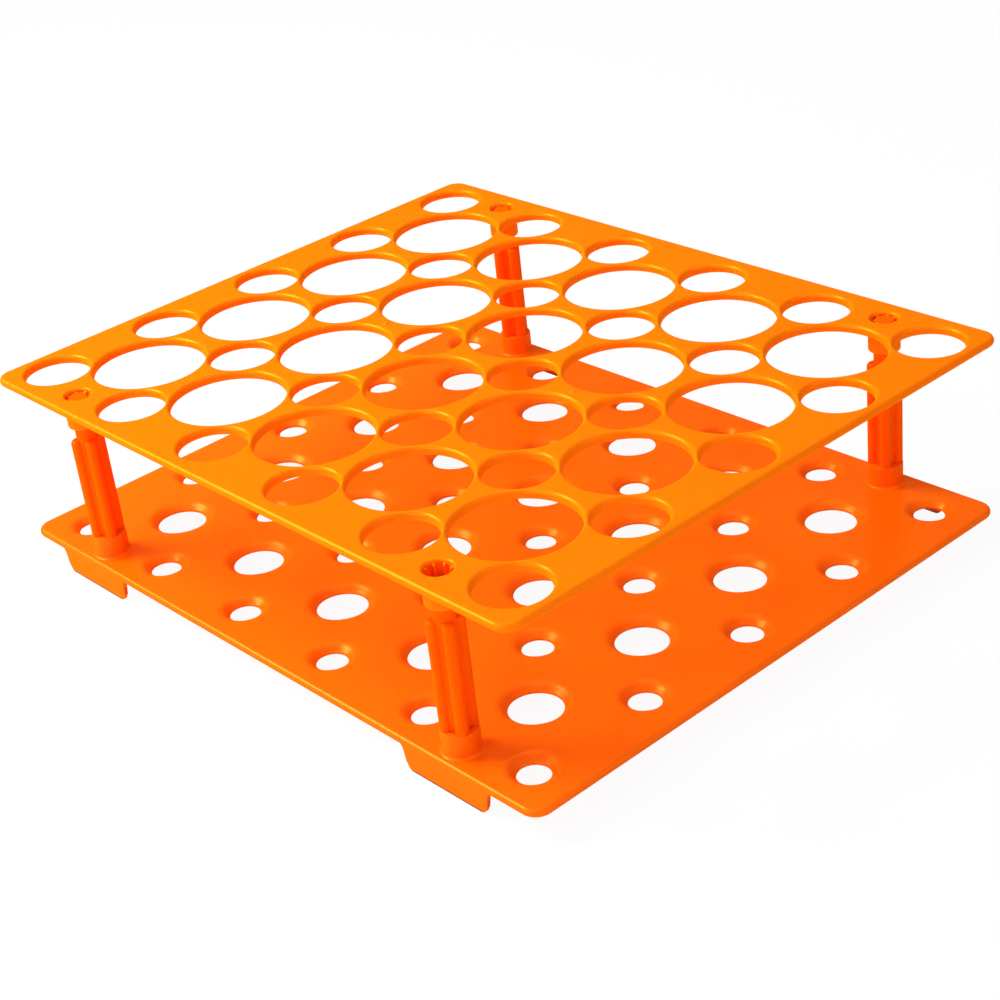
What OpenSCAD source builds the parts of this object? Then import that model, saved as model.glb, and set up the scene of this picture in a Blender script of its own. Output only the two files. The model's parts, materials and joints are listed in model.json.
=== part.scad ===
// Two-deck rack for centrifuge tubes: a tube deck full of round wells, held over a base deck with
// dished seats by four fluted posts. Millimetres, +Z up, origin on the table under the middle of
// the rack, X along the long side.

/* [Wells] */
// Distance between neighbouring wells of one size, the same both ways
pitch = 35.5; // [35.5:0.5:40]
// Narrow wells along the long side
narrow_columns = 6; // [4:1:8]
// Narrow wells along the short side
narrow_rows = 5; // [4:1:7]
// Diameter of a narrow well, for a 15 ml tube
narrow_d = 17.5; // [16.5:0.25:18]
// Diameter of a wide well, for a 50 ml tube
wide_d = 30; // [28:0.5:30.5]
// Rounding of a well's upper rim
rim_r = 1.1; // [0.3:0.1:1.1]

/* [Decks] */
// From the outermost narrow wells' centres to the tube deck's short edges
tube_end_margin = 11.75; // [11.75:0.25:20]
// From the outermost narrow wells' centres to the tube deck's long edges
tube_side_margin = 13; // [12:0.25:20]
// From the outermost narrow seats' centres to the base deck's short edges
base_end_margin = 12.75; // [11.75:0.25:20]
// From the outermost narrow seats' centres to the base deck's long edges
base_side_margin = 11.5; // [11.5:0.25:20]
// Radius of a deck's corners in plan
corner_r = 4.5; // [3:0.5:8]
// Rounding of a deck's outer edges, above and below
edge_r = 1.1; // [0.6:0.1:1.1]
// Thickness of the tube deck
tube_deck_t = 2.3; // [2.3:0.1:4]
// Thickness of the base deck
base_deck_t = 2.3; // [2.3:0.1:4]
// Height of the tube deck's upper face over the base deck's upper face
deck_gap = 47.5; // [44:0.5:70]

/* [Seats] */
// Diameter of the drain hole in a wide seat
wide_drain_d = 13.3; // [10:0.1:15]
// Diameter of the drain hole in a narrow seat
narrow_drain_d = 8; // [5:0.1:9]
// Width of a seat's sloping ring, seen from above
seat_ring = 3.2; // [2.5:0.1:3.6]
// Straight wall at the bottom of a seat's drain hole
drain_land = 0.6; // [0.5:0.1:1]

/* [Posts] */
// Distance from a post's axis to the nearest long line of narrow wells
post_offset = 5; // [4:0.25:5]
// Outer radius of a post's fluted body
post_r = 4.5; // [4.2:0.1:4.8]
// Radius of one rounded rib
rib_r = 1.5; // [1.4:0.05:1.8]
// Height of the base deck's collar over the deck
low_collar_h = 6.2; // [4:0.2:10]
// Radius of the base deck's collar
low_collar_r = 4.6; // [4.6:0.05:4.8]
// Depth of the tube deck's collar below the deck's upper face
high_collar_h = 8.8; // [7:0.2:11]
// Radius of the tube deck's collar
high_collar_r = 4.1; // [4:0.1:4.5]
// Length of bare neck between the fluted body and the upper collar
neck_gap = 3.7; // [0.5:0.1:4.5]

/* [Feet] */
// Height of a foot below the base deck
foot_h = 5.8; // [4:0.2:10]
// Length of a foot where it stands on the table
foot_length = 26; // [20:0.5:32]
// Thickness of a foot
foot_t = 1.2; // [1.2:0.1:3]

/* [Hidden] */

$fn = 64;
past = 1;               // how far a cutter runs past a face
arc_steps = 3;          // flats in a quarter of a small rounding

grid_l = (narrow_columns - 1) * pitch;   // from the first narrow well's centre to the last
grid_w = (narrow_rows - 1) * pitch;
tube_deck_l = grid_l + 2 * tube_end_margin;
tube_deck_w = grid_w + 2 * tube_side_margin;
base_deck_l = grid_l + 2 * base_end_margin;
base_deck_w = grid_w + 2 * base_side_margin;
base_z = foot_h;                         // underside of the base deck
base_top_z = base_z + base_deck_t;
tube_top_z = base_top_z + deck_gap;
tube_z = tube_top_z - tube_deck_t;       // underside of the tube deck

post_x = (narrow_columns - 2) / 2 * pitch;
post_y = (narrow_rows - 1) / 2 * pitch + post_offset;
spigot_r = 2.75;                         // both plain ends of a post
low_socket_r = 2.8;                      // bore of the base deck's collar
high_socket_r = 3.4;                     // bore of the tube deck's collar, between its ribs
grip_ribs = 8;                           // small ribs in that bore, which grip the post
grip_rib_r = 0.55;                       // radius of such a rib
grip_gap = 0.02;                         // left between its crest and the post
grip_drop = 0.9;                         // from the upper face down to the ribs' tops
mouth_round = 0.8;                       // rounding of the socket's mouth in the upper face
collar_bevel = 0.4;                      // broken edge of the upper collar's lower rim
collar_chamfer = 0.2;                    // broken edge of the lower collar's top
collar_fillet_r = 0.6;                   // hollow fillet round the lower collar's foot
body_z = base_top_z + low_collar_h;      // the fluted body stands on the lower collar
shoulder_z = tube_top_z - high_collar_h - neck_gap;
body_h = shoulder_z - body_z;
shoulder_chamfer = 1.1;                  // slope on top of the ribs
core_r = 2.4;                            // plastic that fills the middle between the ribs
tail_drop = 0.6;                         // the lower end stops this far above the underside
end_chamfer = 0.5;                       // lead-in at both ends of a post
// The ends are round, so each post has been pressed in at a turn of its own.
turn_front_left = 28;
turn_front_right = 17;
turn_back_left = 40;
turn_back_right = -5;
// They have gone in by different depths: how far each upper end is under the upper face.
drop_front_left = 0.7;
drop_front_right = 3.8;
drop_back_left = 0.7;
drop_back_right = 0.7;

seat_depth = base_deck_t - drain_land;   // height of a seat's sloping ring
seat_fill = 0.85;                        // share of the largest rounding that the ring takes
seat_round = seat_fill * (seat_ring * seat_ring + seat_depth * seat_depth) / (2 * seat_depth);

foot_out = 0.5;                          // a foot's middle stands this far outward of a post
foot_slant = 12;                         // lean of a foot's ends from upright
foot_corner_r = 2;                       // rounding of a foot's lower corners
foot_fillet_r = 2.2;                     // hollow fillet where a foot's ends meet the deck
foot_top = foot_h + base_deck_t / 2;     // a foot reaches up to the middle of the deck's edge
gate_r = 0.8;                            // the small moulding points on the tube deck
gate_h = 0.25;

narrow_x = [for (i = [0 : narrow_columns - 1]) (i - (narrow_columns - 1) / 2) * pitch];
narrow_y = [for (j = [0 : narrow_rows - 1]) (j - (narrow_rows - 1) / 2) * pitch];
wide_x = [for (i = [0 : narrow_columns - 2]) (i - (narrow_columns - 2) / 2) * pitch];
wide_y = [for (j = [0 : narrow_rows - 2]) (j - (narrow_rows - 2) / 2) * pitch];

// Points of an arc about centre c, from angle a to angle b, in n steps.
function arc(c, r, a, b, n) =
    [for (k = [0 : n]) c + r * [cos(a + (b - a) * k / n), sin(a + (b - a) * k / n)]];

// Section of what is taken off a square edge, whose corner is at 0,0, to round it to radius r.
function edge_waste(r) =
    concat(arc([-r, -r], r, 0, 90, arc_steps), [[-r, past], [past, past], [past, -r]]);

// Places a shape at every post.
module at_posts() {
    for (x = [-post_x, post_x])
        for (y = [-post_y, post_y])
            translate([x, y, 0]) children();
}

// Outline of a deck: a rectangle l by w with round corners.
module deck_outline(l, w) {
    inner_l = l - 2 * corner_r;
    inner_w = w - 2 * corner_r;
    square([l, inner_w], center = true);
    square([inner_l, w], center = true);
    for (x = [-inner_l / 2, inner_l / 2])
        for (y = [-inner_w / 2, inner_w / 2])
            translate([x, y]) circle(r = corner_r);
}

// One straight stretch of the waste along an upper edge of the given length. The edge runs
// along X, outside is -Y.
module straight_waste(length) {
    rotate([90, 0, -90])
        translate([0, 0, -length / 2]) linear_extrude(length) polygon(edge_waste(edge_r));
}

// The waste around the whole upper edge of a deck l by w, whose upper face is at height 0.
module rim_waste(l, w) {
    inner_l = l - 2 * corner_r;
    inner_w = w - 2 * corner_r;
    for (turn = [0, 180]) {
        rotate(turn) translate([0, -w / 2, 0]) straight_waste(inner_l);
        rotate(turn + 90) translate([0, -l / 2, 0]) straight_waste(inner_w);
        for (side = [0, 1])
            rotate(turn) mirror([side, 0, 0])
                translate([inner_l / 2, inner_w / 2, 0])
                    rotate_extrude(angle = 90) translate([corner_r, 0]) polygon(edge_waste(edge_r));
    }
}

// A deck l by w and t thick, with its outer edges rounded. Its underside is at height 0.
module deck_blank(l, w, t) {
    difference() {
        linear_extrude(t) deck_outline(l, w);
        translate([0, 0, t]) rim_waste(l, w);
        mirror([0, 0, 1]) rim_waste(l, w);
    }
}

// Cutter of a round hole through a deck of thickness t, with the upper rim rounded to radius
// round_r. Height 0 is the deck's upper face.
module rimmed_hole(r, round_r, t) {
    rotate_extrude()
        polygon(concat([[0, -t - past], [r, -t - past]],
                       [for (k = [0 : arc_steps])
                           [r + round_r - round_r * cos(90 * k / arc_steps),
                            -round_r + round_r * sin(90 * k / arc_steps)]],
                       [[r + round_r, past], [0, past]]));
}

// Cutter of a dished seat: a drain hole, a slope for the tube's tip and a soft upper rim. The
// slope leaves the hole's straight wall and meets the rim's rounding without a break.
module seat(drain_r) {
    rim_c = [drain_r + seat_ring, -seat_round];
    reach = norm([seat_ring, seat_depth - seat_round]);
    slope = asin(seat_round / reach) + atan2(seat_depth - seat_round, seat_ring);
    rotate_extrude()
        polygon(concat([[0, -base_deck_t - past], [drain_r, -base_deck_t - past],
                        [drain_r, -seat_depth]],
                       arc(rim_c, seat_round, 90 + slope, 90, arc_steps),
                       [[drain_r + seat_ring, past], [0, past]]));
}

// The small upright ribs inside an upper collar, which grip the post.
module grip_rib_ring() {
    rib_x = spigot_r + grip_gap + grip_rib_r;
    for (k = [0 : grip_ribs - 1])
        rotate((k + 0.5) * 360 / grip_ribs)
            translate([rib_x, 0, tube_top_z - high_collar_h + collar_bevel])
                cylinder(r = grip_rib_r, h = high_collar_h - collar_bevel - grip_drop, $fn = 24);
}

// Deck with the wells, hung collars that take the posts, and two moulding points.
module tube_deck() {
    color("darkorange") difference() {
        union() {
            translate([0, 0, tube_z]) deck_blank(tube_deck_l, tube_deck_w, tube_deck_t);
            at_posts() {
                rim_z = tube_top_z - high_collar_h;
                translate([0, 0, rim_z + collar_bevel])
                    cylinder(r = high_collar_r, h = high_collar_h - collar_bevel - tube_deck_t / 2);
                translate([0, 0, rim_z])
                    cylinder(r1 = high_collar_r - collar_bevel, r2 = high_collar_r,
                             h = collar_bevel);
            }
            for (x = [-pitch, pitch])
                translate([x, 0, tube_top_z - gate_h]) cylinder(r = gate_r, h = 2 * gate_h);
        }
        for (x = narrow_x)
            for (y = narrow_y)
                translate([x, y, tube_top_z]) rimmed_hole(narrow_d / 2, rim_r, tube_deck_t);
        for (x = wide_x)
            for (y = wide_y)
                translate([x, y, tube_top_z]) rimmed_hole(wide_d / 2, rim_r, tube_deck_t);
        at_posts() difference() {
            translate([0, 0, tube_top_z])
                rimmed_hole(high_socket_r, mouth_round, high_collar_h);
            grip_rib_ring();
        }
    }
}

// Outline of a foot, seen from the long side: a low trapezium with rounded lower corners and
// hollow fillets under the deck. Height 0 is the table.
module foot_outline() {
    root = foot_length / 2;
    corner_x = root + foot_corner_r * (sin(foot_slant) - 1) / cos(foot_slant);
    fillet_x = root
        + (foot_fillet_r + (foot_top - foot_fillet_r) * sin(foot_slant)) / cos(foot_slant);
    half = concat(arc([corner_x, foot_corner_r], foot_corner_r, -90, -foot_slant, 2 * arc_steps),
                  arc([fillet_x, foot_top - foot_fillet_r], foot_fillet_r, 180 - foot_slant, 90,
                      2 * arc_steps));
    last = len(half) - 1;
    polygon(concat(half, [for (k = [last : -1 : 0]) [-half[k][0], half[k][1]]]));
}

// A foot, with its outer face in the plane y = 0 and the rest of it behind.
module foot() {
    translate([0, foot_t, 0]) rotate([90, 0, 0]) linear_extrude(foot_t) foot_outline();
}

// The collar that a post stands in, with a hollow fillet round its foot. Height 0 is the deck's
// upper face; the collar reaches half the deck's thickness below it.
module low_collar() {
    straight_h = low_collar_h - collar_chamfer;
    fillet_c = [low_collar_r + collar_fillet_r, collar_fillet_r];
    rotate_extrude()
        polygon(concat([[0, -base_deck_t / 2], [fillet_c[0], -base_deck_t / 2]],
                       arc(fillet_c, collar_fillet_r, 270, 180, arc_steps),
                       [[low_collar_r, straight_h],
                        [low_collar_r - collar_chamfer, low_collar_h], [0, low_collar_h]]));
}

// Deck with the seats, the four collars that the posts stand in, and four feet.
module base_deck() {
    color("orangered") difference() {
        union() {
            translate([0, 0, base_z]) deck_blank(base_deck_l, base_deck_w, base_deck_t);
            at_posts() translate([0, 0, base_top_z]) low_collar();
            for (turn = [0, 180])
                for (x = [-1, 1])
                    rotate(turn)
                        translate([x * (post_x + foot_out), -base_deck_w / 2, 0]) foot();
        }
        for (x = narrow_x)
            for (y = narrow_y)
                translate([x, y, base_top_z]) seat(narrow_drain_d / 2);
        for (x = wide_x)
            for (y = wide_y)
                translate([x, y, base_top_z]) seat(wide_drain_d / 2);
        at_posts() translate([0, 0, base_z - past])
            cylinder(r = low_socket_r, h = base_deck_t + low_collar_h + 2 * past);
    }
}

// The four ribs of a post's fluted body, with their upper ends sloped.
module ribs() {
    slope_z = body_h - shoulder_chamfer;
    cone_r = post_r + 0.05;              // just clear of the ribs' crests
    intersection() {
        union() {
            cylinder(r = core_r, h = body_h);
            for (turn = [45 : 90 : 315])
                rotate(turn) translate([post_r - rib_r, 0, 0]) cylinder(r = rib_r, h = body_h);
        }
        union() {
            translate([0, 0, -past]) cylinder(r = 2 * post_r, h = slope_z + past);
            translate([0, 0, slope_z])
                cylinder(r1 = cone_r, r2 = cone_r - shoulder_chamfer, h = shoulder_chamfer);
        }
    }
}

// A post: a fluted body that stands on the base deck's collar, and plain round ends that go
// into the two collars. The upper end is bare for a short stretch under the tube deck's collar.
module post(end_drop) {
    tail_z = base_z + tail_drop;
    neck_z = shoulder_z - shoulder_chamfer;
    top_z = tube_top_z - end_drop;
    tip_r = spigot_r - end_chamfer;
    color("orangered") union() {
        translate([0, 0, body_z]) ribs();
        translate([0, 0, tail_z]) cylinder(r1 = tip_r, r2 = spigot_r, h = end_chamfer);
        translate([0, 0, tail_z + end_chamfer])
            cylinder(r = spigot_r, h = body_z - tail_z - end_chamfer);
        translate([0, 0, neck_z]) cylinder(r = spigot_r, h = top_z - neck_z - end_chamfer);
        translate([0, 0, top_z - end_chamfer])
            cylinder(r1 = spigot_r, r2 = tip_r, h = end_chamfer);
    }
}

tube_deck();
base_deck();
translate([-post_x, -post_y, 0]) rotate(turn_front_left) post(drop_front_left);  // post_front_left
translate([post_x, -post_y, 0]) rotate(turn_front_right) post(drop_front_right);  // post_front_right
translate([-post_x, post_y, 0]) rotate(turn_back_left) post(drop_back_left);  // post_back_left
translate([post_x, post_y, 0]) rotate(turn_back_right) post(drop_back_right);  // post_back_right
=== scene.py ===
# %% [markdown]
# # A rack for centrifuge tubes
#
# The rack is two orange plates of moulded plastic. The upper one, the tube deck, has fifty wells
# of two widths. The lower one, the base deck, has a dished seat under each well. Four fluted
# posts hold the plates apart. We start from the engineering model, which says where everything
# is, and make each piece again with the soft edges and the surface that the real one has.

# %% Load the engineering model
import json
import math

import bpy
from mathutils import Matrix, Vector

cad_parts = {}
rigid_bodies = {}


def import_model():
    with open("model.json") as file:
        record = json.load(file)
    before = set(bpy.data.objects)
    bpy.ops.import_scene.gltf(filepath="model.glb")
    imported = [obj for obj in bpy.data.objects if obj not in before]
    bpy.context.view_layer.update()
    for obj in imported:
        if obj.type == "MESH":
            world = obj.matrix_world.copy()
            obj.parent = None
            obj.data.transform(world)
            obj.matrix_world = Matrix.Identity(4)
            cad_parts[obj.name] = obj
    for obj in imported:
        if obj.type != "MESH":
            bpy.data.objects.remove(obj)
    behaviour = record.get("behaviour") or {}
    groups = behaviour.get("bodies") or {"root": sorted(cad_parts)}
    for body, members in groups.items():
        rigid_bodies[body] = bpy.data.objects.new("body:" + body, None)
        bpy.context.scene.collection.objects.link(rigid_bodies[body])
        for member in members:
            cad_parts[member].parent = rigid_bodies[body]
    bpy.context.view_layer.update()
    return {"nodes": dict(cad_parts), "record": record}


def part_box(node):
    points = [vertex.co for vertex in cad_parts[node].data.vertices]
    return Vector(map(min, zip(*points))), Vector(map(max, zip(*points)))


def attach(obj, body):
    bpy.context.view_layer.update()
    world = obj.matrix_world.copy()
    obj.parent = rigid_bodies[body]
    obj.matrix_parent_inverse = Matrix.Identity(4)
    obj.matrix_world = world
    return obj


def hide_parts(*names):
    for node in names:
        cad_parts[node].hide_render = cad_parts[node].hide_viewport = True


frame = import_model()
print("nodes:", sorted(frame["nodes"]))

# %% [markdown]
# The record that comes with the model lists every well and seat with its centre and radius.
# Reading them from there keeps our plates in step with the model, and saves us a table.

# %% Where the wells and seats are
mounts = frame["record"]["mounts"]


def holes(word):
    """The centres, in metres, and the common radius of the mounts whose name starts with word."""
    found = [m for m in mounts if m["name"].startswith(word)]
    centres = [(m["pos_m"][0], m["pos_m"][1]) for m in found]
    return centres, found[0]["dims"]["r_mm"] / 1000


wide_wells, wide_r = holes("wide_well")
narrow_wells, narrow_r = holes("narrow_well")
wide_drain_r = holes("wide_seat")[1]
narrow_drain_r = holes("narrow_seat")[1]
posts = [name for name in sorted(frame["nodes"]) if name.startswith("post")]
post_places = [tuple((a + b) / 2 for a, b in zip(*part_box(name)))[:2] for name in posts]
print(len(wide_wells), "wide wells,", len(narrow_wells), "narrow wells,", len(posts), "posts")

# %% [markdown]
# The plates' sizes also come from the model: each node's box gives its outline, and the few
# sizes that a box can't tell, such as a plate's thickness, are written down here.

# %% Sizes
mm = 0.001
base_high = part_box("base_deck")[1]
tube_low, tube_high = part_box("tube_deck")
gate_h = 0.25 * mm                        # the moulding points stand this proud
tube_top = tube_high.z - gate_h
tube_t = 2.3 * mm
base_t = 2.3 * mm
collar_h = 6.2 * mm                       # the base deck's collars stand this high
base_top = base_high.z - collar_h
base_under = base_top - base_t
tube_under = tube_top - tube_t
corner_r = 4.5 * mm
edge_r = 1.1 * mm
print("upper faces at", round(base_top / mm, 2), "and", round(tube_top / mm, 2), "mm")

# %% [markdown]
# Blender's operators act on whatever is selected, so three small helpers keep that tidy: one
# takes pieces in hand, one enters edit mode for a stretch of work, and one picks edges, faces
# or vertices by a test on where they are.

# %% Taking pieces in hand
import contextlib
import bmesh

near = 1e-6                               # places closer than this count as one


def take(*pieces):
    """Selects these pieces and nothing else, with the first one active."""
    bpy.ops.object.select_all(action="DESELECT")
    for piece in pieces:
        piece.select_set(True)
    bpy.context.view_layer.objects.active = pieces[0]


@contextlib.contextmanager
def editing(piece):
    """Edit mode on one piece, and back to object mode at the end."""
    take(piece)
    bpy.ops.object.mode_set(mode="EDIT")
    yield piece
    bpy.ops.object.mode_set(mode="OBJECT")


def pick(kind, test):
    """In edit mode, selects the VERT, EDGE or FACE parts that pass test, and says how many."""
    bpy.ops.mesh.select_mode(type=kind)
    bpy.ops.mesh.select_all(action="DESELECT")
    mesh = bmesh.from_edit_mesh(bpy.context.object.data)
    parts = {"VERT": mesh.verts, "EDGE": mesh.edges, "FACE": mesh.faces}[kind]
    chosen = [part for part in parts if test(part)]
    for part in chosen:
        part.select_set(True)
    bmesh.update_edit_mesh(bpy.context.object.data)
    return len(chosen)


def level(part, z):
    """True where every corner of an edge or face lies at height z."""
    return all(abs(v.co.z - z) < near for v in part.verts)


def face_outwards():
    """In edit mode, turns every face of a closed shape outwards."""
    bpy.ops.mesh.select_all(action="SELECT")
    bpy.ops.mesh.normals_make_consistent(inside=False)


# %% [markdown]
# ## The blank plate
#
# Both decks are a flat sheet with round corners and edges rounded almost to a half circle. A
# plane gets its corners by a vertex bevel, is extruded to its thickness, and both of its edges
# are bevelled. The two flat faces are then taken away, until the round parts are in place.

# %% A plate
corner_steps = 12
edge_steps = 7


def blank(name, half_size, top, thickness):
    """A plain plate with rounded corners and edges."""
    bpy.ops.mesh.primitive_plane_add(size=2)
    piece = bpy.context.object
    piece.name = name
    with editing(piece):
        bpy.ops.transform.resize(value=(half_size.x, half_size.y, 1))
        bpy.ops.transform.translate(value=(0, 0, top - thickness))
        bpy.ops.mesh.bevel(offset=corner_r, segments=corner_steps, affect="VERTICES")
        bpy.ops.mesh.select_all(action="SELECT")
        bpy.ops.mesh.extrude_region_move(TRANSFORM_OT_translate={"value": (0, 0, thickness)})
        pick("EDGE", lambda edge: level(edge, top) or level(edge, top - thickness))
        bpy.ops.mesh.bevel(offset=edge_r, segments=edge_steps, affect="EDGES")
        face_outwards()
    print(name, "blank:", len(piece.data.polygons), "faces")
    return piece


def open_flats(piece, top, bottom):
    """Takes away the upper and lower flat faces."""
    with editing(piece):
        pick("FACE", lambda face: level(face, top) or level(face, bottom))
        bpy.ops.mesh.delete(type="ONLY_FACE")


# %% [markdown]
# ## Turned shapes
#
# A well's rim, a seat, a collar and a moulding point are all round, so each is a circle that is
# extruded step by step, and scaled to the next radius at each step. A list of (radius, height)
# pairs says what the section is. A skin that has to be a solid has its open ends closed.

# %% Turning a section
fine = 96                                 # flats round a wide circle, or round the grip ribs
plain = 64                                # flats round a narrow circle
coarse = 24                               # flats round a tiny one


def turn(name, section, flats):
    """A turned skin about the Z axis, from a list of (radius, height)."""
    start_r, start_z = section[0]
    bpy.ops.mesh.primitive_circle_add(vertices=flats, radius=start_r, fill_type="NOTHING")
    piece = bpy.context.object
    piece.name = name
    with editing(piece):
        bpy.ops.transform.translate(value=(0, 0, start_z))
        for (r0, z0), (r1, z1) in zip(section, section[1:]):
            bpy.ops.mesh.extrude_region_move(TRANSFORM_OT_translate={"value": (0, 0, z1 - z0)})
            bpy.ops.transform.resize(value=(r1 / r0, r1 / r0, 1), center_override=(0, 0, 0))
    return piece


def close_ends(piece, *heights):
    """Caps a turned skin where it is open, and turns every face outwards."""
    with editing(piece):
        for z in heights:
            pick("EDGE", lambda edge: edge.is_boundary and level(edge, z))
            bpy.ops.mesh.edge_face_add()
        face_outwards()
    return piece


def turn_solid(name, section, flats):
    """A turned shape that is closed at both ends."""
    return close_ends(turn(name, section, flats), section[0][1], section[-1][1])


# %% [markdown]
# What repeats is made once and copied. Each copy gets its own mesh, and its place goes into
# that mesh, so that every piece's origin stays at the rack's own.

# %% Copies
def copies(piece, places, turns=None):
    """One copy of a piece at every place, and the piece itself gone. The turns, if any, are in
    degrees about the upright axis."""
    made = []
    for (x, y), angle in zip(places, turns or [0] * len(places)):
        take(piece)
        bpy.ops.object.duplicate(linked=False)
        made.append(bpy.context.object)
        made[-1].location = (x, y, 0)
        made[-1].rotation_euler = (0, 0, math.radians(angle))
    take(*made)
    bpy.ops.object.transform_apply(location=True, rotation=True, scale=False)
    bpy.data.objects.remove(piece)
    return made


# %% [markdown]
# ## The tube deck
#
# The collars that take the posts hang under this deck. A collar's mouth is rounded over, and a
# hollow fillet leads from the collar's wall into the deck. Both are a quarter of a circle, so
# the two helpers below share a list of angles.

# %% Rounded over, and hollow
def quarter_turn(steps):
    """The angles from 0 to 90 degrees, in equal steps."""
    return [math.radians(90 * k / steps) for k in range(steps + 1)]


def round_over(r, z, size, steps):
    """Points of a convex rounding into a hole of radius r below a face at height z."""
    return [(r + size - size * math.sin(a), z - size + size * math.cos(a))
            for a in quarter_turn(steps)]


def hollow_fillet(r, z, size, steps, side):
    """Points of a hollow fillet from a wall of radius r to a face at z, on its lower side (-1)
    or its upper side (1), starting on the wall."""
    return [(r + size - size * math.cos(a), z + side * (size - size * math.sin(a)))
            for a in quarter_turn(steps)]


# %% [markdown]
# Inside, each collar has eight small ribs that grip the post, and their tops slope, to lead the
# post's end in. The collar is turned with a plain bore first. Then the corners of that bore that
# belong to a rib are picked by their height and angle, and drawn inwards.

# %% The tube deck's collars
hung_r = 4.1 * mm
hung_bevel = 0.4 * mm
root_r = 0.6 * mm
collar_low = tube_low.z
socket_r = 3.4 * mm
socket_break = 0.15 * mm
mouth_r = 0.8 * mm
grip_count = 8
grip_half = 5                             # a rib reaches this many degrees from its middle
grip_r = 2.77 * mm
grip_slope = 0.35 * mm
grip_end = 0.1 * mm
grip_top = tube_top - mouth_r - grip_slope
grip_low = collar_low + 0.6 * mm


def grip_zone(vertex):
    """True on a grip rib, by the corner's height and its angle round the bore."""
    x, y, z = vertex.co
    if not grip_low - near < z < grip_top + near or math.hypot(x, y) > socket_r + near:
        return False
    spacing = 360 / grip_count
    turned = (math.degrees(math.atan2(y, x)) - spacing / 2) % spacing
    return min(turned, spacing - turned) < grip_half


hung_section = round_over(socket_r, tube_top, mouth_r, 6) + [
    (socket_r, grip_top), (socket_r, grip_low), (socket_r, grip_low - grip_end),
    (socket_r, collar_low + socket_break), (socket_r + socket_break, collar_low),
    (hung_r - hung_bevel, collar_low), (hung_r - hung_bevel * 0.4, collar_low + hung_bevel * 0.25),
    (hung_r, collar_low + hung_bevel)]
hung_section += hollow_fillet(hung_r, tube_under, root_r, 4, -1)
hung_collar = turn("hung_collar", hung_section, fine)
with editing(hung_collar):
    print("grip ribs' corners:", pick("VERT", grip_zone))
    squeeze = grip_r / socket_r
    bpy.ops.transform.resize(value=(squeeze, squeeze, 1), center_override=(0, 0, 0))
tube_parts = copies(hung_collar, post_places)

# %% [markdown]
# Two small points stand on the upper face's long middle line, where the plastic ran into the
# mould.

# %% The moulding points
point_section = [(1.0 * mm, tube_top), (0.85 * mm, tube_top + 0.05 * mm),
                 (0.7 * mm, tube_top + 0.2 * mm), (0.55 * mm, tube_high.z)]
point = close_ends(turn("moulding_point", point_section, coarse), tube_high.z)
pitch = wide_wells[1][0] - wide_wells[0][0]
tube_parts += copies(point, [(-pitch, 0), (pitch, 0)])
print("moulding points", round(2 * pitch / mm, 1), "mm apart")

# %% [markdown]
# The collars and points are joined to the plate's rim, and then each flat face is filled between
# the loops of open edges that lie in it. Filling round the holes makes one clean skin, with no
# face inside the plastic.

# %% The tube deck's plate
def finish_deck(piece, parts, top, bottom):
    """Joins the parts to the rim, and fills the flat faces around the holes."""
    take(piece, *parts)
    bpy.ops.object.join()
    with editing(piece):
        bpy.ops.mesh.select_all(action="SELECT")
        bpy.ops.mesh.remove_doubles(threshold=near)
        for z in (top, bottom):
            count = pick("EDGE", lambda edge: edge.is_boundary and level(edge, z))
            bpy.ops.mesh.fill(use_beauty=True)
            print(piece.name, "filled inside", count, "edges at", round(z / mm, 2), "mm")
        face_outwards()
    print(piece.name, "has", len(piece.data.polygons), "faces")


tube_deck = blank("tube_deck_plate", tube_high, tube_top, tube_t)
open_flats(tube_deck, tube_top, tube_under)
finish_deck(tube_deck, tube_parts, tube_top, tube_under)

# %% [markdown]
# A well's upper rim is rounded so generously that the rims of a wide and a narrow well run into
# each other over the thin web between them. So the wells are cut, not joined in: first the wide
# ones and then the narrow ones, as each set by itself doesn't touch.

# %% The wells
rim_r = 1.1 * mm
under_break = 0.15 * mm
clear = 1 * mm                            # the cutters stand this far over the plate


def combine(piece, tools, operation):
    """Adds (UNION) or cuts (DIFFERENCE) tools that don't touch each other, and removes them."""
    take(*tools)
    if len(tools) > 1:
        bpy.ops.object.join()
    tool = bpy.context.object
    take(piece)
    bpy.ops.object.modifier_add(type="BOOLEAN")
    step = piece.modifiers[-1]
    step.operation, step.solver, step.object = operation, "MANIFOLD", tool
    bpy.ops.object.modifier_apply(modifier=step.name)
    bpy.data.objects.remove(tool)
    print(piece.name, operation.lower(), "of", len(tools), "parts:",
          len(piece.data.polygons), "faces")


def well_cutter(name, r, flats):
    """The solid that cuts one well, with its rounded rim and a broken lower edge."""
    section = [(r + rim_r, tube_top + clear)] + round_over(r, tube_top, rim_r, 8) + [
        (r, tube_under + under_break), (r + 2 * under_break, tube_under - under_break)]
    return turn_solid(name, section, flats)


combine(tube_deck, copies(well_cutter("wide_well", wide_r, fine), wide_wells), "DIFFERENCE")
combine(tube_deck, copies(well_cutter("narrow_well", narrow_r, plain), narrow_wells), "DIFFERENCE")

# %% [markdown]
# Smooth shading would let the light of a rounding spill over the flat face beside it. Weighted
# normals lean towards the larger face, so the flat parts stay flat and the roundings soft.

# %% Soft shading
smooth_under = 38                         # degrees: a sharper edge stays an edge


def soften(piece):
    """Smooth shading on the rounded parts, while the flat faces keep theirs."""
    take(piece)
    bpy.ops.object.shade_smooth_by_angle(angle=math.radians(smooth_under))
    bpy.ops.object.modifier_add(type="WEIGHTED_NORMAL")
    piece.modifiers[-1].keep_sharp = True
    bpy.ops.object.modifier_apply(modifier=piece.modifiers[-1].name)


soften(tube_deck)

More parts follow.
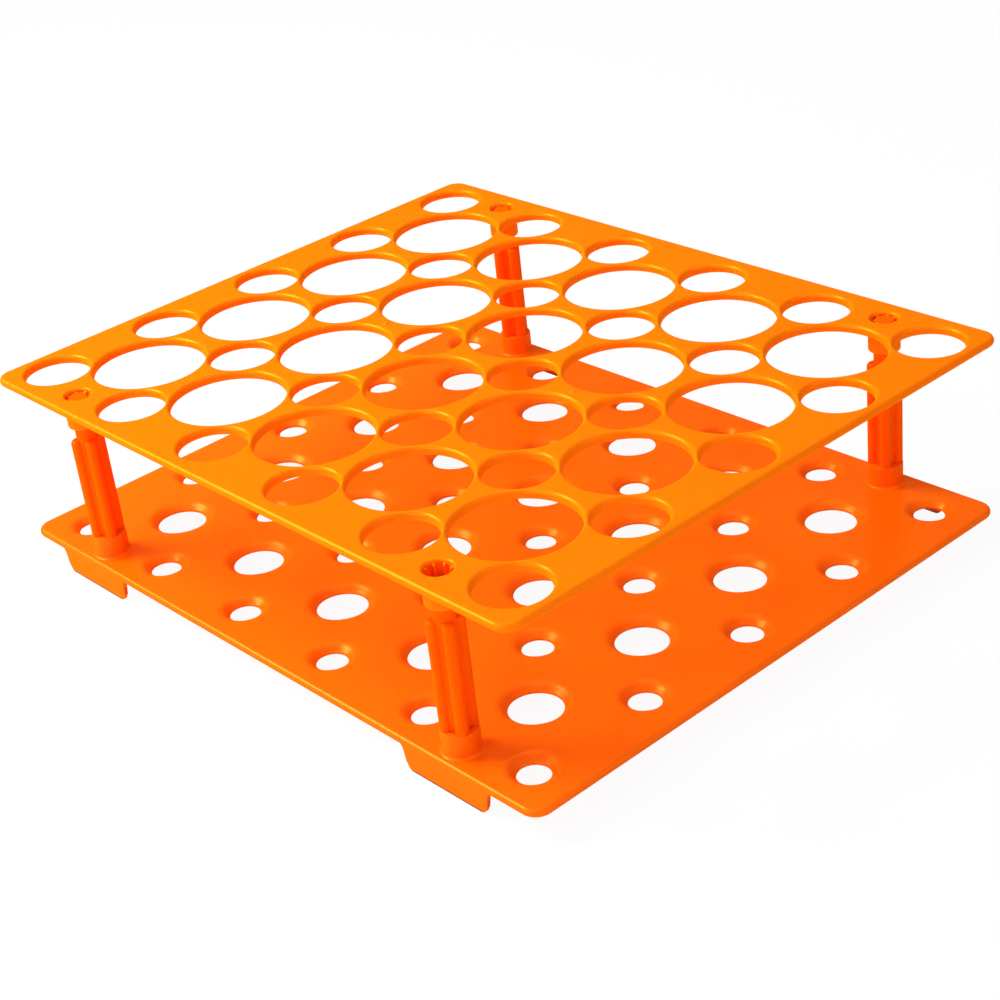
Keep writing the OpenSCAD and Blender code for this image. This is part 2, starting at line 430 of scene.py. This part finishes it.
# %% [markdown]
# ## The base deck
#
# A seat is a shallow dish that guides a tube's tip to the drain hole. From the deck it bends
# down in one long soft curve, then runs straight to a short upright wall round the drain. The
# curve's radius is a little under the one that would bend it all the way, and the slope is the
# tangent from the curve to the top of the wall.

# %% The base deck's seats
land = 0.6 * mm
dish_w = 3.2 * mm
dish_depth = base_t - land
bent_share = 0.85
dish_round = bent_share * (dish_w ** 2 + dish_depth ** 2) / (2 * dish_depth)
dish_steps = 8
slope_end = 0.25 * mm                     # the slope stops this far from the wall
wall_break = 0.15 * mm


def seat_section(drain_r):
    """A seat's section: the soft rim, the slope, the straight wall and a broken lower edge."""
    reach = math.hypot(dish_w, dish_depth - dish_round)
    slope = math.asin(dish_round / reach) + math.atan2(dish_depth - dish_round, dish_w)
    section = []
    for k in range(dish_steps + 1):
        turned = slope * k / dish_steps
        section.append((drain_r + dish_w - dish_round * math.sin(turned),
                        base_top - dish_round + dish_round * math.cos(turned)))
    land_z = base_under + land
    return section + [
        (drain_r + slope_end, land_z + slope_end * math.tan(slope)),
        (drain_r + 0.06 * mm, land_z - 0.03 * mm), (drain_r, land_z - wall_break),
        (drain_r, base_under + under_break), (drain_r + under_break, base_under)]


base_parts = copies(turn("wide_seat", seat_section(wide_drain_r), fine), wide_wells)
base_parts += copies(turn("narrow_seat", seat_section(narrow_drain_r), plain), narrow_wells)
print(len(base_parts), "seats, each", round(dish_depth / mm, 2), "mm deep")

# %% [markdown]
# Four collars stand on this deck, a little wider than the hung ones, and each is open right
# through for a post's lower end. A hollow fillet leads from the deck into the collar's wall.

# %% The base deck's collars
stand_r = 4.6 * mm
stand_root = 0.8 * mm
stand_round = 0.25 * mm
stand_high = base_high.z
stand_bore = 2.8 * mm
bore_break = 0.2 * mm
standing = hollow_fillet(stand_r, base_top, stand_root, 5, 1)[::-1] + [
    (stand_r, stand_high - stand_round), (stand_r - 0.06 * mm, stand_high - 0.08 * mm),
    (stand_r - 0.22 * mm, stand_high), (stand_bore + bore_break, stand_high),
    (stand_bore, stand_high - bore_break),
    (stand_bore, base_under + bore_break), (stand_bore + bore_break, base_under)]
base_parts += copies(turn("stand_collar", standing, plain), post_places)
print("collars stand to", round(stand_high / mm, 2), "mm")

# %% [markdown]
# ## The feet
#
# Four low feet hang from the base deck's long edges, flush with them. A foot's end leans
# inwards, with a hollow fillet above and a rounded corner below. Both are arcs that the leaning
# line touches, so where their middles lie follows from the lean.

# %% A foot's outline
foot_t = 1.2 * mm
foot_half = 13 * mm
lean = math.radians(12)
foot_corner = 2.0 * mm
foot_fillet = 2.2 * mm
foot_top = base_under + base_t / 2


def arc(x, z, r, start, sweep, steps):
    """Points of an arc about (x, z), from the angle start and through the angle sweep."""
    angles = [start + sweep * k / steps for k in range(steps + 1)]
    return [(x + r * math.cos(a), z + r * math.sin(a)) for a in angles]


def foot_end(steps):
    """Half lengths and heights of a foot's end, from its top down to the table."""
    square = math.radians(90)
    fillet_x = foot_half + (foot_fillet + (foot_top - foot_fillet) * math.sin(lean)) / math.cos(lean)
    corner_x = foot_half + foot_corner * (math.sin(lean) - 1) / math.cos(lean)
    return (arc(fillet_x, foot_top - foot_fillet, foot_fillet, square, square - lean, steps)
            + arc(corner_x, foot_corner, foot_corner, -lean, lean - square, steps))


foot_outline = foot_end(8)
print("a foot is", round(2 * foot_outline[0][0] / mm, 1), "mm long at its top")

# %% [markdown]
# The foot starts as a narrow strip, level with the middle of the deck's edge. It is extruded
# downwards along the outline, and scaled lengthways at each step. The edges along its two broad
# sides are then bevelled, but for the stretch at the top, which the plate takes in.

# %% One foot, and four
foot_out = 0.5 * mm                       # a foot's middle stands this far outward of a post
foot_soft = 0.3 * mm
soft_from = base_under - 0.8 * mm
sharp = 1.0                               # radians: the faces at a sharp edge differ by more
tuck = 0.01 * mm                          # keeps a foot's face just inside the deck's edge


def foot_edge(edge):
    """True along the edges of a foot's two broad sides, below the deck."""
    lengthways = abs(edge.verts[0].co.y - edge.verts[1].co.y) < near
    below = max(v.co.z for v in edge.verts) < soft_from
    return lengthways and below and edge.calc_face_angle() > sharp


bpy.ops.mesh.primitive_plane_add(size=2)
foot = bpy.context.object
with editing(foot):
    bpy.ops.transform.resize(value=(foot_outline[0][0], foot_t / 2, 1))
    bpy.ops.transform.translate(value=(0, 0, foot_top))
    for (x0, z0), (x1, z1) in zip(foot_outline, foot_outline[1:]):
        bpy.ops.mesh.extrude_region_move(TRANSFORM_OT_translate={"value": (0, 0, z1 - z0)})
        bpy.ops.transform.resize(value=(x1 / x0, 1, 1), center_override=(0, 0, 0))
    face_outwards()
    print("a foot's edges to soften:", pick("EDGE", foot_edge))
    bpy.ops.mesh.bevel(offset=foot_soft, segments=3, affect="EDGES")
foot_x = abs(post_places[0][0]) + foot_out
foot_y = base_high.y - foot_t / 2 - tuck
feet = copies(foot, [(x * foot_x, y * foot_y) for x in (-1, 1) for y in (-1, 1)])

# %% [markdown]
# The feet are added while the plate is still closed, as a Boolean needs solids. Only then are
# its flat faces opened for the seats and collars.

# %% The base deck's plate with its feet
base_deck = blank("base_deck_plate", base_high, base_top, base_t)
combine(base_deck, feet, "UNION")
open_flats(base_deck, base_top, base_under)
finish_deck(base_deck, base_parts, base_top, base_under)
soften(base_deck)

# %% [markdown]
# ## The posts
#
# A post is fluted: four round ribs about its axis, with hollow valleys between them. One rib's
# outline is the outer part of a circle. A valley's is the inner part of another, which touches
# the ribs on both sides. Each is turned round the axis four times, and together they close.

# %% One fluted outline
rib_count = 4
rib_r = 1.5 * mm
rib_reach = 4.5 * mm
core_r = 2.4 * mm

rib_x = rib_reach - rib_r
diagonal = rib_x * math.sqrt(2)
shrink = core_r - rib_r
valley_x = (rib_x ** 2 - shrink ** 2) / (diagonal - 2 * shrink)
valley_r = valley_x - core_r
touch = Vector((valley_x * math.sqrt(0.5) - rib_x, valley_x * math.sqrt(0.5)))
rib_end = rib_x + rib_r * touch.x / touch.length
valley_end = valley_x - valley_r * (valley_x - diagonal / 2) / touch.length


def four_arcs(name, r, x, end, keep_outer):
    """A circle of radius r about (x, 0), cut off at end, and turned round the axis four times."""
    bpy.ops.mesh.primitive_circle_add(vertices=fine, radius=r, fill_type="NOTHING")
    piece = bpy.context.object
    piece.name = name
    with editing(piece):
        bpy.ops.transform.translate(value=(x, 0, stand_high))
        bpy.ops.mesh.bisect(plane_co=(end, 0, 0), plane_no=(1, 0, 0), threshold=near / 10,
                            clear_inner=keep_outer, clear_outer=not keep_outer)
        bpy.ops.mesh.select_all(action="SELECT")
        bpy.ops.mesh.spin(steps=rib_count, dupli=True, angle=math.radians(360),
                          center=(0, 0, 0), axis=(0, 0, 1))
    return piece


ribs = four_arcs("ribs", rib_r, rib_x, rib_end, True)
valleys = four_arcs("valleys", valley_r, valley_x, valley_end, False)
valleys.rotation_euler = (0, 0, math.radians(45))
take(valleys)
bpy.ops.object.transform_apply(location=False, rotation=True, scale=False)
take(ribs, valleys)
bpy.ops.object.join()
fluted = bpy.context.object
with editing(fluted):
    bpy.ops.mesh.select_all(action="SELECT")
    bpy.ops.mesh.remove_doubles(threshold=10 * near)
    bpy.ops.mesh.edge_face_add()
print("fluted outline:", len(fluted.data.vertices), "corners,", len(fluted.data.polygons), "face")

# %% [markdown]
# The outline stands at the top of the base deck's collar, and is extruded from there up to the
# shoulder. The shoulder is rounded by a few short extrusions, each a little narrower.

# %% The post's height and shoulder
shoulder_z = collar_low - 3.7 * mm
shoulder_h = 1.1 * mm
neck_z = shoulder_z - shoulder_h


def shoulder_width(a):
    """The share of the post's width that is left at an angle along the shoulder's rounding."""
    return 1 - shoulder_h / rib_reach * (1 - math.cos(a))


with editing(fluted):
    bpy.ops.mesh.select_all(action="SELECT")
    bpy.ops.mesh.extrude_region_move(TRANSFORM_OT_translate={"value": (0, 0, neck_z - stand_high)})
    angles = quarter_turn(6)
    for a0, a1 in zip(angles, angles[1:]):
        rise = shoulder_h * (math.sin(a1) - math.sin(a0))
        narrowing = shoulder_width(a1) / shoulder_width(a0)
        bpy.ops.mesh.extrude_region_move(TRANSFORM_OT_translate={"value": (0, 0, rise)})
        bpy.ops.transform.resize(value=(narrowing, narrowing, 1), center_override=(0, 0, 0))
    face_outwards()
print("fluted body:", round((shoulder_z - stand_high) / mm, 2), "mm high")

# %% [markdown]
# The plain round ends are turned, with a short taper that runs inside the fluted body, and
# added to it. As they are round, each post can stand at a turn of its own. One post's upper end
# stands deeper in its collar than the others', so every end is moved to where the model has it.

# %% The round ends, and four posts
spigot_r = 2.75 * mm
tip = 0.5 * mm
hidden_r = core_r - 0.2 * mm
taper = 0.3 * mm
overlap = 0.02 * mm
post_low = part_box(posts[0])[0].z
post_tops = [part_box(name)[1].z for name in posts]
post_high = post_tops[0]
tail_section = [(spigot_r - tip, post_low), (spigot_r, post_low + tip),
                (spigot_r, stand_high + overlap), (hidden_r, stand_high + taper)]
neck_section = [(hidden_r, neck_z - taper), (spigot_r, neck_z),
                (spigot_r, post_high - tip), (spigot_r - tip, post_high)]
tail = turn_solid("tail", tail_section, plain)
neck = turn_solid("neck", neck_section, plain)
combine(fluted, [tail, neck], "UNION")
soften(fluted)

turns = {"post_front_left": 73, "post_front_right": 62, "post_back_left": 85, "post_back_right": 40}
post_pieces = copies(fluted, post_places, [turns[name] for name in posts])
for piece, name, high in zip(post_pieces, posts, post_tops):
    piece.name = name + "_fluted"
    with editing(piece):
        pick("VERT", lambda vertex: vertex.co.z > shoulder_z + near)
        bpy.ops.transform.translate(value=(0, 0, high - post_high))
print("posts:", [p.name for p in post_pieces], len(post_pieces[0].data.polygons), "faces each")

# %% [markdown]
# ## The plastic
#
# The rack is moulded in orange polypropylene: a strong, slightly waxy colour with a soft sheen,
# whose highlights are orange on the curves and turn pale only where a lamp is mirrored. So a
# little Metallic lends the sheen the plastic's own colour, and a very thin coat on the decks
# adds the pale part. Shader maths reads best as plain arithmetic, so a small class wraps a
# shader socket, and adds the Math nodes as an expression is worked out.

# %% Shader arithmetic
class Wire:
    """A shader socket that can be used in arithmetic, and that makes further nodes."""

    def __init__(self, tree, socket=None):
        self.tree = tree
        self.socket = socket

    def make(self, kind, settings=None, values=None, out=0):
        """Any node: its type without the prefix, its settings, and its sockets' values or wires."""
        node = self.tree.nodes.new("ShaderNode" + kind)
        for name, value in (settings or {}).items():
            setattr(node, name, value)
        for name, value in (values or {}).items():
            if isinstance(value, Wire):
                self.tree.links.new(value.socket, node.inputs[name])
            else:
                node.inputs[name].default_value = value
        return Wire(self.tree, node.outputs[out])

    def __add__(self, other):
        return self.make("Math", {"operation": "ADD"}, {0: self, 1: other})

    def __mul__(self, other):
        return self.make("Math", {"operation": "MULTIPLY"}, {0: self, 1: other})

    __radd__ = __add__
    __rmul__ = __mul__


def new_finish(name):
    """An empty node material, with a wire to start from and its output node."""
    material = bpy.data.materials.new(name)
    material.use_nodes = True
    tree = material.node_tree
    tree.nodes.clear()
    return material, Wire(tree), tree.nodes.new("ShaderNodeOutputMaterial")


# %% [markdown]
# The colour drifts by a few hundredths over a few centimetres, as the melt cooled. The sheen
# is broken by a fine grain from the mould, about a third of a millimetre across, and by slow
# waves where the sheet has sunk a little. Light goes a short way into the plastic, more so in
# red than in green, which warms the shaded sides. The base deck's tone is made deeper than the
# tube deck's as painted shade, for the shade that the tube deck casts on it. The posts are
# redder than both: partly their own tone, and partly painted shade from the deck above them.

# %% Orange polypropylene
drift_scale = 28.0                        # per metre: a few centimetres from tone to tone
wave_scale = 90.0                         # about a centimetre
grain_scale = 2600.0                      # about a third of a millimetre
wave_height = 0.35                        # shares of the bump's distance
grain_height = 0.04
mix_a = 6                                 # a Mix node's colour sockets, which have the same
mix_b = 7                                 # names as its number sockets
mix_result = 2


def polypropylene(name, light, deep, pale_sheen):
    """The plastic between a light and a deep tone, with more or less of the pale highlight."""
    material, wire, output = new_finish(name)
    place = wire.make("TexCoord", out="Object")
    drift = wire.make("TexNoise", {}, {"Vector": place, "Scale": drift_scale, "Detail": 2.0})
    grain = wire.make("TexNoise", {}, {"Vector": place, "Scale": grain_scale, "Detail": 2.0})
    waves = wire.make("TexNoise", {}, {"Vector": place, "Scale": wave_scale, "Detail": 1.0})
    colour = wire.make("Mix", {"data_type": "RGBA"},
                       {"Factor": drift, mix_a: deep, mix_b: light}, out=mix_result)
    height = waves * wave_height + grain * grain_height
    normal = wire.make("Bump", {}, {"Strength": 0.35, "Distance": 0.25 * mm, "Height": height})
    skin = wire.make("BsdfPrincipled", {}, {
        "Base Color": colour, "Roughness": 0.25 + 0.1 * grain, "Normal": normal,
        "IOR": 1.49, "Specular IOR Level": 0.0, "Specular Tint": (1.0, 0.6, 0.1, 1),
        "Metallic": 0.16, "Coat Weight": pale_sheen, "Coat Roughness": 0.3, "Coat IOR": 2.5,
        "Subsurface Weight": 0.25, "Subsurface Scale": 4 * mm,
        "Subsurface Radius": (1.0, 0.35, 0.1)})
    wire.tree.links.new(skin.socket, output.inputs["Surface"])
    return material


deck_orange = polypropylene("deck_orange", light=(1.0, 0.192, 0.001, 1),
                            deep=(0.99, 0.172, 0.0005, 1), pale_sheen=0.012)
# The base deck's deeper tone is painted shade, for the shade that the tube deck casts on it.
base_orange = polypropylene("base_orange", light=(1.0, 0.148, 0.001, 1),
                            deep=(0.99, 0.13, 0.0005, 1), pale_sheen=0.025)
# The posts' redder tone is partly their own, and partly painted shade from the deck above.
post_orange = polypropylene("post_orange", light=(1.0, 0.115, 0.001, 1),
                            deep=(0.99, 0.1, 0.0005, 1), pale_sheen=0.0)
print("finishes:", deck_orange.name, base_orange.name, post_orange.name)

# %% [markdown]
# Each piece now gets its finish, takes the place of its node in the model, and rides on the
# rack's one body.

# %% Each piece gets its finish and its place in the model
finished = [(tube_deck, "tube_deck", "deck_orange", deck_orange),
            (base_deck, "base_deck", "base_orange", base_orange)]
finished += [(p, n, "post_orange", post_orange) for p, n in zip(post_pieces, posts)]
for piece, node, slot, finish in finished:
    piece.data.materials.clear()
    piece.data.materials.append(finish)
    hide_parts(node)
    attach(piece, "root")
print(len(finished), "pieces finished")

# %% [markdown]
# ## The table, the light and the camera
#
# The rack stands on a plain white floor. To the camera, and in reflections, the floor and the
# surround are white, but the floor keeps a part of its real shading, and so the rack's shadow.

# %% The floor
glow = 0.94                               # this share of the floor that is seen is plain white


def seen(wire):
    """1 for a ray from the camera, a reflection or a transmission, and 0 for other light."""
    camera_ray = wire.make("LightPath", out="Is Camera Ray")
    glossy_ray = wire.make("LightPath", out="Is Glossy Ray")
    return camera_ray + glossy_ray + wire.make("LightPath", out="Is Transmission Ray")


bpy.ops.mesh.primitive_plane_add(size=8)
floor = bpy.context.object
floor.name = "floor"
white, wire, output = new_finish("white_floor")
matt = wire.make("BsdfDiffuse", {}, {"Color": (0.93, 0.93, 0.93, 1)})
bright = wire.make("Emission", {}, {"Color": (1, 1, 1, 1), "Strength": 1.0})
mixed = wire.make("MixShader", {}, {0: seen(wire) * glow, 1: matt, 2: bright})
wire.tree.links.new(mixed.socket, output.inputs["Surface"])
floor.data.materials.append(white)
print("floor:", round(floor.dimensions.x, 1), "m wide")

# %% [markdown]
# The surround is white to the eye too, but it lights the rack only a little, to fill the shade.

# %% The surround
fill = 0.14
world = bpy.data.worlds.new("surround")
bpy.context.scene.world = world
world.use_nodes = True
surround = world.node_tree.nodes["Background"]
surround.inputs["Color"].default_value = (1, 1, 1, 1)
wire = Wire(world.node_tree)
strength = seen(wire) * (1 - fill) + fill
wire.tree.links.new(strength.socket, surround.inputs["Strength"])
print("the surround lights at", fill)

# %% [markdown]
# A soft lamp stands close by, to the left and in front, so that its light falls off across the
# rack. Three wide lamps, overhead, in front and to the right, take the hardness off its shade.

# %% The lamps
middle = (0, 0, 0.04)


def lamp(name, place, aim, size, watts):
    """A square soft lamp at place, turned towards aim."""
    bpy.ops.object.light_add(type="AREA", location=place)
    made = bpy.context.object
    made.name = name
    made.data.size = size
    made.data.energy = watts
    made.rotation_euler = (Vector(aim) - Vector(place)).to_track_quat("-Z", "Y").to_euler()
    print(name, "lamp:", watts, "W")


lamp("left", (-0.465, -0.345, 0.52), middle, 0.4, 8.2)
lamp("over", (0, 0, 1.0), middle, 0.9, 3.6)
lamp("front", (0.1, -0.9, 0.3), middle, 0.8, 4.4)
lamp("right", (0.9, 0.1, 0.3), middle, 0.8, 2.2)

# %% [markdown]
# The camera stands half a metre away, off the rack's near corner and above it, with a long lens
# that keeps the perspective calm. A small shift sets the rack in the middle of the frame.

# %% The camera
bpy.ops.object.camera_add(location=(0.36408, -0.30164, 0.27455),
                          rotation=[math.radians(a) for a in (60.112, 6.339, 47.730)])
camera = bpy.context.object
camera.data.lens = 72.9
camera.data.sensor_width = 36
camera.data.shift_x = 0.035
camera.data.shift_y = 0.030
camera.data.clip_start = 0.01
bpy.context.scene.camera = camera
bpy.context.scene.view_settings.view_transform = "Standard"
print("camera:", round(camera.location.length, 2), "m from the rack's middle")
